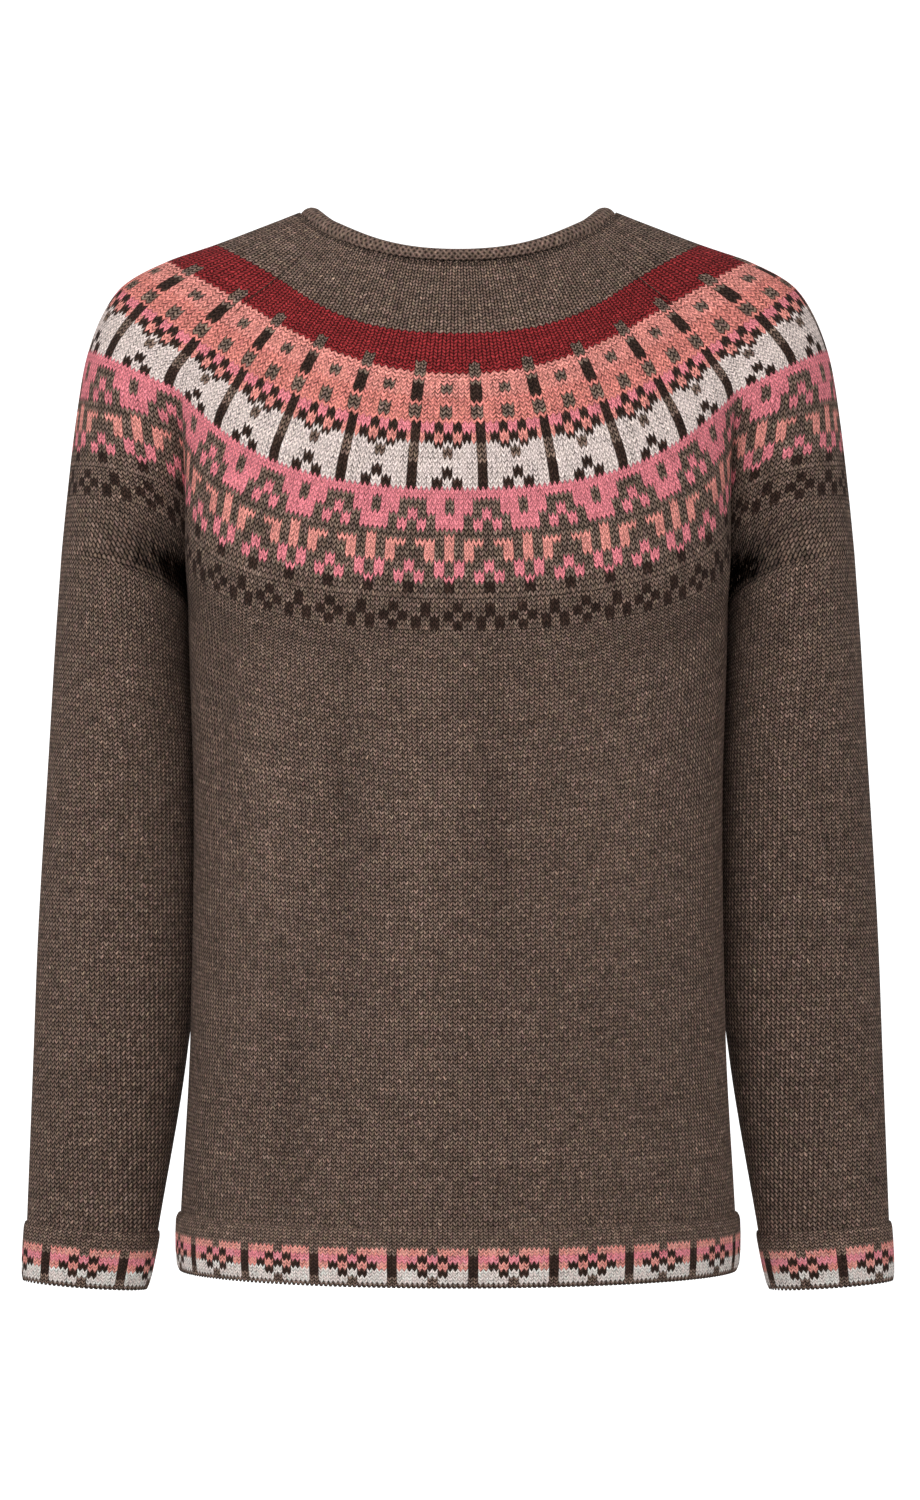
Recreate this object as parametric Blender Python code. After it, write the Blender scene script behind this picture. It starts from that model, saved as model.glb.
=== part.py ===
"""Nordic yoke sweater, filled out as if worn, with no wearer.

Frame: metres, +Z up. The garment's back faces -Y, its front +Y, and +X is the wearer's right. The
origin is on the neck's axis, at the height of the shoulders beside the neck, where the sweater is held.

The cloth is laid out in courses, as it is knitted: rings that start at the neck and run down over the
yoke, and that part under the arms into the body and the two sleeves. A course is given by a few named
sizes in the tables below, and Bezier arcs join its points. All sizes in the tables are millimetres.
"""

import math

import bpy
import numpy as np

MM = 0.001

WALL = 2.2                 # thickness of the knitted cloth
SEAM_GAP = 0.3             # space between two pieces at a seam
FRONT_SHIFT = 10.0         # the front seams mirror the back ones about y = FRONT_SHIFT / 2

BODY_COLUMNS = 10          # facets from the centre of a panel to its side
SLEEVE_COLUMNS = 8         # facets from a sleeve's seam to its outer side
YOKE_ROWS = 14             # facets down the yoke, the same on both sides of a seam
BODY_ROWS = 12
TUBE_ROWS = 12
ARC_STEPS = 40

# One row for each course of the yoke and the body, from the neck down.
#   back_y, centre_z   middle of the back
#   seam_x, _y, _z     where the back meets the sleeve, and below the arm the side of the body
#   flat, round        reach of the arc's handles at the middle and at the seam, as parts of seam_x
#   turn, rise         direction of the cloth at the seam: degrees from the side (+X) round to +Y, and slope
#   front_y            middle of the front
#   front_drop         how much lower the middle of the front lies than that of the back
#   seam_drop          how much lower the front seam lies than the back seam
COURSE_COLUMNS = ("back_y", "centre_z", "seam_x", "seam_y", "seam_z", "flat", "round", "turn", "rise",
                  "front_y", "front_drop", "seam_drop")
COURSES = {
    "neck":     (-60, -32, 79, -32, -12, 0.50, 0.40, 46, 0.40, 78, 50, 23),
    "plain":    (-80, -77, 108, -48, -41, 0.56, 0.38, 38, 0.59, 97, 50, 23),
    "red":      (-89, -101, 127, -47, -56, 0.46, 0.38, 33, 0.53, 105, 50, 26),
    "dots":     (-98, -131, 150, -56, -82, 0.47, 0.38, 31, 0.60, 112, 50, 25),
    "flowers":  (-107, -170, 164, -65, -110, 0.55, 0.38, 40, 0.85, 117, 50, 22),
    "leaves":   (-111, -199, 163, -47, -137, 0.58, 0.40, 78, 0.85, 118, 51, 22),
    "border":   (-114, -252, 161, -23, -196, 0.60, 0.42, 100, 0.60, 118, 50, 10),
    "underarm": (-113, -285, 161, 5, -234, 0.58, 0.42, 97, 0.30, 117, 48, 0),
    "waist":    (-112, -378, 158.5, 5, -358, 0.56, 0.40, 93, 0.14, 115, 34, 0),
    "hip":      (-111, -494, 160.5, 5, -486, 0.55, 0.39, 92, 0.05, 113, 14, 0),
    "hem":      (-113, -597, 166.5, 5, -597, 0.55, 0.39, 90, 0.00, 112, 0, 0),
}

# One row for each course of the sleeve's upper part, as far as the armhole goes.
#   outer_x, _y, _z    outermost point of the arm
#   turn, rise         direction of the cloth where it leaves the back seam
#   tuck, reach        lengths of the arc's handles at the seam and at the outer side
CAP_COLUMNS = ("outer_x", "outer_y", "outer_z", "turn", "rise", "tuck", "reach")
CAP = {
    "neck":     (95, 0, 2.5, 46, 0.40, 12, 12),
    "plain":    (147, 0, -17.5, 38, 0.50, 22, 22),
    "red":      (175.5, 4, -27, 33, 0.50, 25, 26),
    "dots":     (204, 5, -44, 30, 0.50, 28, 34),
    "flowers":  (222.5, 8, -82, 8, 0.50, 30, 50),
    "leaves":   (229, 10, -117, -52, 0.35, 34, 60),
    "border":   (235.5, 14, -169, -66, 0.75, 48, 68),
    "underarm": (239, 17, -203, -80, 0.42, 68, 78),
}

# One row for each section of the sleeve below the armhole.
#   inner_x, _y, _z    innermost point, beside the body
#   outer_x, _y, _z    outermost point
#   back, front        depth of the sleeve behind and before the line through those points
TUBE_COLUMNS = ("inner_x", "inner_y", "inner_z", "outer_x", "outer_y", "outer_z", "back", "front")
TUBE = {
    "upper arm": (160.5, 22, -273, 243, 22, -254, 56, 55),
    "elbow":     (158, 30, -325, 247, 27, -314, 51, 50),
    "forearm":   (157.5, 37, -438, 255, 37, -435, 42, 43),
    "lower arm": (164.5, 41, -505, 258, 42, -502, 37, 38),
    "wrist":     (182.5, 46, -612, 262.5, 48, -606, 28, 29),
}

# Soft upright folds of the body. Columns: x across the panel, z of the top end, z of the bottom end,
# width, and how far the fold rises (or sinks) from the cloth.
BACK_FOLDS = (
    (-140, -225, -340, 16, -1.6),
    (-65, -245, -440, 17, -2.2),
    (-20, -270, -600, 22, 1.6),
    (24, -250, -440, 15, -2.0),
    (95, -260, -520, 26, 1.5),
)
FRONT_FOLDS = (
    (-100, -290, -540, 24, 1.6),
    (-52, -300, -470, 17, -2.0),
    (38, -310, -520, 20, -1.8),
    (118, -270, -430, 18, -1.6),
)

# The armhole's closed course, where the sleeve becomes a tube, and how its slant at the body fades.
ARMHOLE_DEPTH = 57.0
ARMHOLE_TURN = 10.0
ARMHOLE_RISE = 0.42
ARMHOLE_FADE = 40.0
ROUND_REACH = 4.0 / 3.0                  # length of handle that makes a Bezier arc half an ellipse

# Neck roll: the cloth's edge, curled outwards.
ROLL_RADIUS = 4.2
ROLL_WALL = 1.8
ROLL_START = 236.0                       # degrees round the curl: from below,
ROLL_END = -52.0                         # over the top, to the outside
ROLL_STEPS = 7
ROLL_CLOTH = 12.0                        # length of cloth below the neck that gives the curl its upright
ROLL_RISE_BACK = 3.6                     # how far the curl's middle stands above the neck course
ROLL_RISE_SIDE = 4.8

# Hem and cuffs: turned bands of double cloth. Each profile is (outwards, down) from the course above.
HEM_HEIGHT = 34.5
CUFF_HEIGHT = 36.5
CUFF_DOWN = (0.13, 0.055, -0.99)
CUFF_TAPER = 0.065                       # how much narrower a cuff is at its edge than at its top
CUFF_PROUD = 0.6                         # the cuff's profile stands out less than the hem's
BAND_PROFILE = (
    (-0.2, 0.0), (2.0, 0.02), (3.0, 0.10), (3.3, 0.35), (3.2, 0.65), (2.4, 0.90), (0.9, 1.0),
    (-0.4, 0.99), (-1.1, 0.90), (-1.3, 0.50), (-1.3, 0.10), (-1.1, 0.0),
)

NECK_SEGMENTS_QUARTER = 14
HEM_SEGMENTS_QUARTER = 16
CUFF_SEGMENTS_HALF = 12

COLOURS = {
    "brown": (0.115, 0.076, 0.060),
    "yoke": (0.52, 0.25, 0.24),
}
WOOL_ROUGHNESS = 0.9


def named_columns(columns, rows):
    """A table's rows turned into one array for each named column."""
    return {name: np.array([row[i] for row in rows], dtype=float) for i, name in enumerate(columns)}


def smooth(knots, values, at):
    """A smooth curve through values at the knots that never swings past them."""
    knots = np.asarray(knots, dtype=float)
    values = np.asarray(values, dtype=float)
    step = np.diff(knots)
    slope = np.diff(values) / step
    tangent = np.empty_like(values)
    product = slope[:-1] * slope[1:]
    total = slope[:-1] + slope[1:]
    tangent[1:-1] = np.where(product > 0.0, 2.0 * product / np.where(total == 0.0, 1.0, total), 0.0)
    tangent[0] = slope[0]
    tangent[-1] = slope[-1]
    place = np.clip(np.searchsorted(knots, at, side="right") - 1, 0, len(step) - 1)
    width = step[place]
    part = (at - knots[place]) / width
    return ((2 * part**3 - 3 * part**2 + 1) * values[place]
            + (part**3 - 2 * part**2 + part) * width * tangent[place]
            + (3 * part**2 - 2 * part**3) * values[place + 1]
            + (part**3 - part**2) * width * tangent[place + 1])


COURSE = named_columns(COURSE_COLUMNS, COURSES.values())
CAP_COURSE = named_columns(CAP_COLUMNS, CAP.values())
SECTION = named_columns(TUBE_COLUMNS, TUBE.values())

# A course's place is its distance down the cloth from the neck, along the middle of the back.
PLACES = np.concatenate(([0.0], np.cumsum(np.hypot(np.diff(COURSE["back_y"]), np.diff(COURSE["centre_z"])))))
PLACE = dict(zip(COURSES, PLACES))
CAP_PLACES = PLACES[:len(CAP)]
UNDERARM = PLACE["underarm"]

# A sleeve section's place goes on from the underarm, along the outer side of the arm.
OUTER_LINE = np.stack([np.append(CAP_COURSE["outer_" + axis][-1], SECTION["outer_" + axis]) for axis in "xyz"])
TUBE_PLACES = UNDERARM + np.cumsum(np.linalg.norm(np.diff(OUTER_LINE, axis=1), axis=0))
WRIST = TUBE_PLACES[-1]


def course_at(place):
    """Every column of the course table, read at a place."""
    return {name: smooth(PLACES, values, place) for name, values in COURSE.items()}


def heading(turn, rise, side):
    """Unit direction of the cloth at a seam; side is -1 at the back and 1 at the front."""
    angle = math.radians(turn)
    direction = np.array((math.cos(angle), -side * math.sin(angle), rise))
    return direction / np.linalg.norm(direction)


def bezier(start, first, second, end):
    """Points along a cubic Bezier arc."""
    part = np.linspace(0.0, 1.0, ARC_STEPS + 1)[:, None]
    rest = 1.0 - part
    return rest**3 * start + 3 * rest**2 * part * first + 3 * rest * part**2 * second + part**3 * end


def seam_point(course, side):
    """Where the panel of this side ends on a course."""
    if side < 0:
        return np.array((course["seam_x"], course["seam_y"], course["seam_z"]))
    return np.array((course["seam_x"], FRONT_SHIFT - course["seam_y"], course["seam_z"] - course["seam_drop"]))


def panel_arc(place, side):
    """Half a course of the back (side -1) or the front (side 1), from the middle to the seam at +X."""
    course = course_at(place)
    middle_y = course["back_y"] if side < 0 else course["front_y"]
    middle_z = course["centre_z"] - (course["front_drop"] if side > 0 else 0.0)
    middle = np.array((0.0, middle_y, middle_z))
    seam = seam_point(course, side)
    first = middle + np.array((course["flat"] * course["seam_x"], 0.0, 0.0))
    second = seam - course["round"] * course["seam_x"] * heading(course["turn"], course["rise"], side)
    return bezier(middle, first, second, seam)


def sleeve_arc(place, side):
    """Half a course of the left sleeve, mirrored to +X: from its seam to the outer side of the arm."""
    if place < UNDERARM:
        cap = {name: smooth(CAP_PLACES, values, place) for name, values in CAP_COURSE.items()}
        seam = seam_point(course_at(place), side) + np.array((SEAM_GAP, 0.0, 0.0))
        outer = np.array((cap["outer_x"], cap["outer_y"], cap["outer_z"]))
        first = seam + cap["tuck"] * heading(cap["turn"], cap["rise"], side)
        second = outer + np.array((0.0, side * cap["reach"], 0.0))
        return bezier(seam, first, second, outer)
    section = tube_section(place)
    inner = np.array((section["inner_x"], section["inner_y"], section["inner_z"]))
    outer = np.array((section["outer_x"], section["outer_y"], section["outer_z"]))
    depth = section["back"] if side < 0 else section["front"]
    first = inner + ROUND_REACH * depth * heading(section["turn"], section["rise"], side)
    second = outer + np.array((0.0, side * ROUND_REACH * depth, 0.0))
    return bezier(inner, first, second, outer)


def tube_section(place):
    """The sleeve's section at a place below the armhole, starting from the armhole's last course."""
    last = course_at(UNDERARM)
    start = {
        "inner_x": last["seam_x"] + SEAM_GAP, "inner_y": last["seam_y"], "inner_z": last["seam_z"],
        "outer_x": CAP_COURSE["outer_x"][-1], "outer_y": CAP_COURSE["outer_y"][-1],
        "outer_z": CAP_COURSE["outer_z"][-1], "back": ARMHOLE_DEPTH, "front": ARMHOLE_DEPTH,
    }
    places = np.append(UNDERARM, TUBE_PLACES)
    section = {name: smooth(places, np.append(start[name], SECTION[name]), place) for name in TUBE_COLUMNS}
    fade = math.exp(-(place - UNDERARM) / ARMHOLE_FADE)
    section["turn"] = -90.0 + ARMHOLE_TURN * fade
    section["rise"] = ARMHOLE_RISE * fade
    return section


def spaced(arc, shares, short):
    """Points at even shares of an arc's length, the arc ending short of its own end."""
    run = np.append(0.0, np.cumsum(np.linalg.norm(np.diff(arc, axis=0), axis=1)))
    wanted = np.asarray(shares) * (run[-1] - short)
    return np.stack([np.interp(wanted, run, arc[:, axis]) for axis in range(3)], axis=1)


def fold_height(x, z, folds):
    """Height of the soft folds at points of a panel: a rounded ridge across, fading out at both ends."""
    height = np.zeros_like(x)
    for fold_x, top_z, bottom_z, width, rise in folds:
        along = np.clip((top_z - z) / (top_z - bottom_z), 0.0, 1.0)
        height += rise * np.exp(-((x - fold_x) / width) ** 2) * np.sin(np.pi * along) ** 2
    return height


def rows_down(end, rows):
    """Places of a piece's rows: those of the yoke, which all pieces share, then its own down to the end."""
    yoke = np.linspace(SEAM_GAP, UNDERARM, YOKE_ROWS + 1)
    return np.append(yoke, np.linspace(UNDERARM, end - SEAM_GAP, rows + 1)[1:])


def panel_grid(side):
    """The outer points of the back or the front, row by row, from left to right as seen from outside."""
    shares = np.linspace(0.0, 1.0, BODY_COLUMNS + 1)
    folds = BACK_FOLDS if side < 0 else FRONT_FOLDS
    rows = []
    for place in rows_down(PLACE["hem"], BODY_ROWS):
        half = spaced(panel_arc(place, side), shares, SEAM_GAP / 2)
        mirrored = half[:0:-1] * np.array((-1.0, 1.0, 1.0))
        rows.append(np.concatenate((mirrored, half)))
    grid = np.array(rows)[:, ::-side]
    return grid + outward(grid, None) * fold_height(grid[:, :, 0], grid[:, :, 2], folds)[:, :, None]


def panel_faces(side):
    """The outer and the inner points of a panel, whose side edges below the arm are cut straight through."""
    outer = panel_grid(side)
    inner = outer - WALL * outward(outer, None)
    for edge in (0, -1):
        inner[YOKE_ROWS:, edge, 1] = outer[YOKE_ROWS:, edge, 1]
    return outer, inner


def sleeve_grid():
    """The outer points of the sleeve at +X, row by row, from the back seam over the arm to the front seam."""
    shares = np.linspace(1.0, 0.0, SLEEVE_COLUMNS + 1)
    rows = []
    for place in rows_down(WRIST, TUBE_ROWS):
        short = SEAM_GAP / 2 if place < UNDERARM else 0.0
        back = spaced(sleeve_arc(place, -1)[::-1], shares, short)
        front = spaced(sleeve_arc(place, 1)[::-1], shares, short)
        rows.append(np.concatenate((back, front[-2::-1])))
    return np.array(rows)


def outward(grid, closed):
    """Unit normals of a grid of points: down the column, crossed with across the row."""
    across = np.gradient(grid, axis=1)
    if closed is not None:
        across[closed:, 0] = grid[closed:, 1] - grid[closed:, -2]
        across[closed:, -1] = across[closed:, 0]
    down = np.gradient(grid, axis=0)
    normal = np.cross(down, across)
    return normal / np.linalg.norm(normal, axis=2)[:, :, None]


def cloth(name, outer, inner, closed=None):
    """A cloth wall between two grids. From row `closed` on, the first and last columns are one seam."""
    rows, columns = outer.shape[:2]
    index = np.arange(rows * columns).reshape(rows, columns)
    if closed is not None:
        index[closed:, -1] = index[closed:, 0]
    offset = rows * columns
    faces = []
    for row in range(rows - 1):
        for column in range(columns - 1):
            a, b = index[row, column], index[row, column + 1]
            c, d = index[row + 1, column + 1], index[row + 1, column]
            faces.append((a, d, c, b))
            faces.append((a + offset, b + offset, c + offset, d + offset))
    for column in range(columns - 1):
        a, b = index[0, column], index[0, column + 1]
        faces.append((a, b, b + offset, a + offset))
        a, b = index[-1, column], index[-1, column + 1]
        faces.append((b, a, a + offset, b + offset))
    last_open = rows - 1 if closed is None else closed
    for row in range(last_open):
        a, b = index[row, 0], index[row + 1, 0]
        faces.append((b, a, a + offset, b + offset))
        a, b = index[row, -1], index[row + 1, -1]
        faces.append((a, b, b + offset, a + offset))
    points = np.concatenate((outer.reshape(-1, 3), inner.reshape(-1, 3)))
    return solid(name, points, faces)


def solid(name, points, faces):
    """A mesh object from points in millimetres, without the points that no face uses."""
    used = np.unique(np.concatenate([np.asarray(face) for face in faces]))
    renumber = {int(old): new for new, old in enumerate(used)}
    mesh = bpy.data.meshes.new(name)
    mesh.from_pydata((points[used] * MM).tolist(), [], [[renumber[int(i)] for i in face] for face in faces])
    mesh.update()
    mesh.shade_smooth()
    thing = bpy.data.objects.new(name, mesh)
    bpy.context.scene.collection.objects.link(thing)
    return thing


def mirrored(grid):
    """The same points at the other side of the body, in the order that keeps the faces outwards."""
    return grid[:, ::-1] * np.array((-1.0, 1.0, 1.0))


def ring(name, sections):
    """A closed ring from sections of equal length, each a loop of points."""
    count, size = sections.shape[:2]
    faces = []
    for i in range(count):
        following = (i + 1) % count
        for j in range(size):
            k = (j + 1) % size
            faces.append((i * size + j, i * size + k, following * size + k, following * size + j))
    return solid(name, sections.reshape(-1, 3), faces)


def whole_course(place, panel_steps, sleeve_steps):
    """The course all the way round, from the back's middle by -X to the front and back by +X."""
    panel_shares = np.linspace(0.0, 1.0, panel_steps + 1)
    back = spaced(panel_arc(place, -1), panel_shares, 0.0)
    front = spaced(panel_arc(place, 1), panel_shares, 0.0)
    half = [back]
    if sleeve_steps:
        sleeve_shares = np.linspace(0.0, 1.0, sleeve_steps + 1)
        half.append(spaced(sleeve_arc(place, -1), sleeve_shares, 0.0)[1:])
        half.append(spaced(sleeve_arc(place, 1), sleeve_shares, 0.0)[-2::-1])
    half.append(front[-2::-1])
    half = np.concatenate(half)
    other = half[-2:0:-1] * np.array((-1.0, 1.0, 1.0))
    return np.concatenate((half, other))


def along_ring(points):
    """Unit tangents of a closed line."""
    tangent = np.roll(points, -1, axis=0) - np.roll(points, 1, axis=0)
    return tangent / np.linalg.norm(tangent, axis=1)[:, None]


def neck_roll():
    """The rolled edge: a curl of cloth whose section turns from below, over the top, to the outside."""
    edge = whole_course(0.0, NECK_SEGMENTS_QUARTER, NECK_SEGMENTS_QUARTER // 2)
    below = whole_course(ROLL_CLOTH, NECK_SEGMENTS_QUARTER, NECK_SEGMENTS_QUARTER // 2)
    up = edge - below
    tangent = along_ring(edge)
    up -= tangent * np.sum(up * tangent, axis=1)[:, None]
    up /= np.linalg.norm(up, axis=1)[:, None]
    out = np.cross(tangent, up)
    side = np.abs(edge[:, 0]) / np.max(np.abs(edge[:, 0]))
    rise = ROLL_RISE_BACK + (ROLL_RISE_SIDE - ROLL_RISE_BACK) * side**3
    middle = edge + up * (rise + SEAM_GAP)[:, None]
    turns = np.radians(np.linspace(ROLL_START, ROLL_END, ROLL_STEPS + 1))
    loop = [(ROLL_RADIUS * math.cos(t), ROLL_RADIUS * math.sin(t)) for t in turns]
    inner = ROLL_RADIUS - ROLL_WALL
    loop += [(inner * math.cos(t), inner * math.sin(t)) for t in turns[::-1]]
    sections = np.array([[m + o * x + u * y for x, y in loop] for m, o, u in zip(middle, out, up)])
    return ring("neck_roll", sections)


def band(name, course, down, height, taper=0.0, proud=1.0):
    """A turned band hung from a course: its profile runs outwards and down from each point."""
    down = np.asarray(down) / np.linalg.norm(down)
    centre = course.mean(axis=0)
    tangent = along_ring(course)
    out = np.cross(tangent, -down)
    out /= np.linalg.norm(out, axis=1)[:, None]
    radial = course - centre
    radial -= down * (radial @ down)[:, None]
    sections = []
    for point, away, spread in zip(course, out, radial):
        sections.append([point + away * x * proud + down * (SEAM_GAP + height * y) - spread * taper * y
                         for x, y in BAND_PROFILE])
    return ring(name, np.array(sections))


def colour(thing, name):
    """A plain woollen material of the object's own."""
    material = bpy.data.materials.new("wool_" + thing.name)
    material.use_nodes = True
    shader = material.node_tree.nodes["Principled BSDF"]
    shader.inputs["Base Color"].default_value = (*COLOURS[name], 1.0)
    shader.inputs["Roughness"].default_value = WOOL_ROUGHNESS
    shader.inputs["Metallic"].default_value = 0.0
    thing.data.materials.append(material)


def build():
    """The whole sweater."""
    for thing in list(bpy.data.objects):
        bpy.data.objects.remove(thing, do_unlink=True)

    back_panel = cloth("back", *panel_faces(-1))
    front_panel = cloth("front", *panel_faces(1))

    right = sleeve_grid()
    sleeves = []
    for name, grid in (("sleeve_left", mirrored(right)), ("sleeve_right", right)):
        sleeves.append(cloth(name, grid, grid - WALL * outward(grid, YOKE_ROWS), YOKE_ROWS))

    roll = neck_roll()
    hem = band("hem_band", whole_course(PLACE["hem"], HEM_SEGMENTS_QUARTER, 0), (0, 0, -1), HEM_HEIGHT)

    shares = np.linspace(0.0, 1.0, CUFF_SEGMENTS_HALF + 1)
    half_back = spaced(sleeve_arc(WRIST, -1), shares, 0.0)
    half_front = spaced(sleeve_arc(WRIST, 1), shares, 0.0)
    wrist = np.concatenate((half_back, half_front[-2:0:-1]))
    flip = np.array((-1.0, 1.0, 1.0))
    cuffs = [
        band("cuff_right", wrist, CUFF_DOWN, CUFF_HEIGHT, CUFF_TAPER, CUFF_PROUD),
        band("cuff_left", wrist[::-1] * flip, np.array(CUFF_DOWN) * flip, CUFF_HEIGHT, CUFF_TAPER, CUFF_PROUD),
    ]
    for thing in (back_panel, front_panel, *sleeves):
        colour(thing, "yoke")
    for thing in (roll, hem, *cuffs):
        colour(thing, "brown")


build()
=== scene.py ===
import bpy
import numpy as np
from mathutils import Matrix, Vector


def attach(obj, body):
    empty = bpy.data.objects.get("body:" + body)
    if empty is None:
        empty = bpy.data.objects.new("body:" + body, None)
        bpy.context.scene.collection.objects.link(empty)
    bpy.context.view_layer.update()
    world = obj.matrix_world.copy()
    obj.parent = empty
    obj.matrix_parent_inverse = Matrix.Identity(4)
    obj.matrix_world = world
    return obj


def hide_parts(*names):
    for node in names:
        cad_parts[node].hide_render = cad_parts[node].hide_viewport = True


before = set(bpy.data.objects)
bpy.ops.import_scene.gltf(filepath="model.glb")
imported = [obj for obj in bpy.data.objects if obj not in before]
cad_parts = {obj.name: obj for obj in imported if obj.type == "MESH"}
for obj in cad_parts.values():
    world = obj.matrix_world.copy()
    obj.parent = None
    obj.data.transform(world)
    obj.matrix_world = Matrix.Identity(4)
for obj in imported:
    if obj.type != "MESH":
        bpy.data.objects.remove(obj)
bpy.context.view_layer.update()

# ---------------------------------------------------------------------------------------------------
# Back. One panel of stocking stitch in a soft brown melange lambswool: the body below the arms, and the
# back of the yoke with its charted bands. The cloth is laid out as it is knitted, in courses that start
# at the neck; a course's place is its distance down the cloth from there. Sizes are millimetres.

MM = 0.001
WALL = 2.2                        # thickness of the knitted cloth
FRONT_SHIFT = 10.0                # the front seams mirror the back ones about y = FRONT_SHIFT / 2
MIRROR = np.array((-1.0, 1.0, 1.0))      # times this, a point is at the other side of the body
ARC_POINTS = 41                   # points that half a course is worked out with

# The courses: depth and height of the back's middle; the point where the back ends; how far the curve
# runs straight on from the middle and from that point, as shares of seam_x; the cloth's turn and slope
# there; and the front's depth, and how much lower its middle and its ends are.
COURSE_COLUMNS = ("back_y", "centre_z", "seam_x", "seam_y", "seam_z", "flat", "round", "turn", "rise",
                  "front_y", "front_drop", "seam_drop")
COURSES = {
    "neck":     (-60, -32, 79, -32, -12, 0.50, 0.40, 46, 0.40, 78, 50, 23),
    "plain":    (-80, -77, 108, -48, -41, 0.56, 0.38, 38, 0.59, 97, 50, 23),
    "red":      (-89, -101, 127, -47, -56, 0.46, 0.38, 33, 0.53, 105, 50, 26),
    "dots":     (-98, -131, 150, -56, -82, 0.47, 0.38, 31, 0.60, 112, 50, 25),
    "flowers":  (-107, -170, 164, -65, -110, 0.55, 0.38, 40, 0.85, 117, 50, 22),
    "leaves":   (-111, -199, 163, -47, -137, 0.58, 0.40, 78, 0.85, 118, 51, 22),
    "border":   (-114, -252, 161, -23, -196, 0.60, 0.42, 100, 0.60, 118, 50, 10),
    "underarm": (-113, -285, 161, 5, -234, 0.58, 0.42, 97, 0.30, 117, 48, 0),
    "waist":    (-112, -378, 158.5, 5, -358, 0.56, 0.40, 93, 0.14, 115, 34, 0),
    "hip":      (-111, -494, 160.5, 5, -486, 0.55, 0.39, 92, 0.05, 113, 14, 0),
    "hem":      (-113, -597, 166.5, 5, -597, 0.55, 0.39, 90, 0.00, 112, 0, 0),
}
# Soft upright folds: x across the panel, z of the top end, z of the bottom end, width, rise or sink.
BACK_FOLDS = (
    (-140, -215, -370, 10, -2.4),
    (-112, -215, -560, 20, 1.6),
    (-67, -200, -500, 12, -3.4),
    (-98, -400, -645, 13, -2.8),
    (22, -200, -500, 11, -3.4),
    (-20, -215, -640, 22, 2.0),
    (95, -260, -520, 26, 1.5),
)
FOLD_PAINTED_SHADE = 0.055                 # painted shade: how much darker a fold's trough is painted for each millimetre of its depth, and a raised fold lighter for each millimetre of its rise


def named_columns(columns, rows):
    """A table's rows turned into one array for each named column."""
    return {name: np.array([row[i] for row in rows], dtype=float) for i, name in enumerate(columns)}


COURSE = named_columns(COURSE_COLUMNS, COURSES.values())
PLACES = np.append(0.0, np.cumsum(np.hypot(np.diff(COURSE["back_y"]), np.diff(COURSE["centre_z"]))))
PLACE = dict(zip(COURSES, PLACES))
UNDERARM = PLACE["underarm"]


def smooth(knots, values, at):
    """Cubic Hermite curve through the knots; a knot's slope is the harmonic mean of its two sides'
    slopes, and level at a peak, so the curve never swings past a value."""
    step = np.diff(knots)
    slope = np.diff(values) / step
    product = slope[:-1] * slope[1:]
    total = slope[:-1] + slope[1:]
    inner = np.where(product > 0.0, 2.0 * product / np.where(total == 0.0, 1.0, total), 0.0)
    tangent = np.concatenate((slope[:1], inner, slope[-1:]))
    i = np.clip(np.searchsorted(knots, at, side="right") - 1, 0, len(step) - 1)
    t = (at - knots[i]) / step[i]
    return ((2 * t**3 - 3 * t**2 + 1) * values[i] + (t**3 - 2 * t**2 + t) * step[i] * tangent[i]
            + (3 * t**2 - 2 * t**3) * values[i + 1] + (t**3 - t**2) * step[i] * tangent[i + 1])


def course_at(places):
    """Every column of the course table, read at an array of places."""
    return {name: smooth(PLACES, values, places) for name, values in COURSE.items()}


def points_of(x, y, z):
    """Three coordinates, numbers or arrays, as an array of points."""
    return np.stack(np.broadcast_arrays(x, y, z), axis=-1).astype(float)


def unit(vectors):
    """Vectors divided by their lengths."""
    return vectors / np.maximum(np.linalg.norm(vectors, axis=-1, keepdims=True), 1e-12)


def heading(turn, rise, side):
    """Unit direction of the cloth at a seam: turned from +X towards the panel's side, and sloped."""
    angle = np.radians(turn)
    return unit(points_of(np.cos(angle), -side * np.sin(angle), rise))


def arcs(start, first, second, end):
    """Cubic Bezier arcs, one for each row: the four handles weighted by (1-t)^3, 3(1-t)^2 t,
    3(1-t) t^2 and t^3."""
    t = np.linspace(0.0, 1.0, ARC_POINTS)[None, :, None]
    s = 1.0 - t
    start, first, second, end = (handle[:, None, :] for handle in (start, first, second, end))
    return s**3 * start + 3 * s**2 * t * first + 3 * s * t**2 * second + t**3 * end


def seam_points(course, side):
    """Where the panel of this side (-1 back, 1 front) ends on each course."""
    if side < 0:
        return points_of(course["seam_x"], course["seam_y"], course["seam_z"])
    return points_of(course["seam_x"], FRONT_SHIFT - course["seam_y"], course["seam_z"] - course["seam_drop"])


def panel_lines(places, side):
    """Whole courses of a panel, left to right as seen from outside: an arc from the middle to the seam
    at +X, and its mirror image."""
    course = course_at(places)
    middle_y = course["back_y"] if side < 0 else course["front_y"]
    middle_z = course["centre_z"] - (course["front_drop"] if side > 0 else 0.0)
    middle = points_of(0.0, middle_y, middle_z)
    seam = seam_points(course, side)
    first = middle + points_of(course["flat"] * course["seam_x"], 0.0, 0.0)
    reach = (course["round"] * course["seam_x"])[:, None]
    second = seam - reach * heading(course["turn"], course["rise"], side)
    half = arcs(middle, first, second, seam)
    other = half[:, :0:-1] * MIRROR
    return np.concatenate((other, half), axis=1)[:, ::-side]


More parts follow.
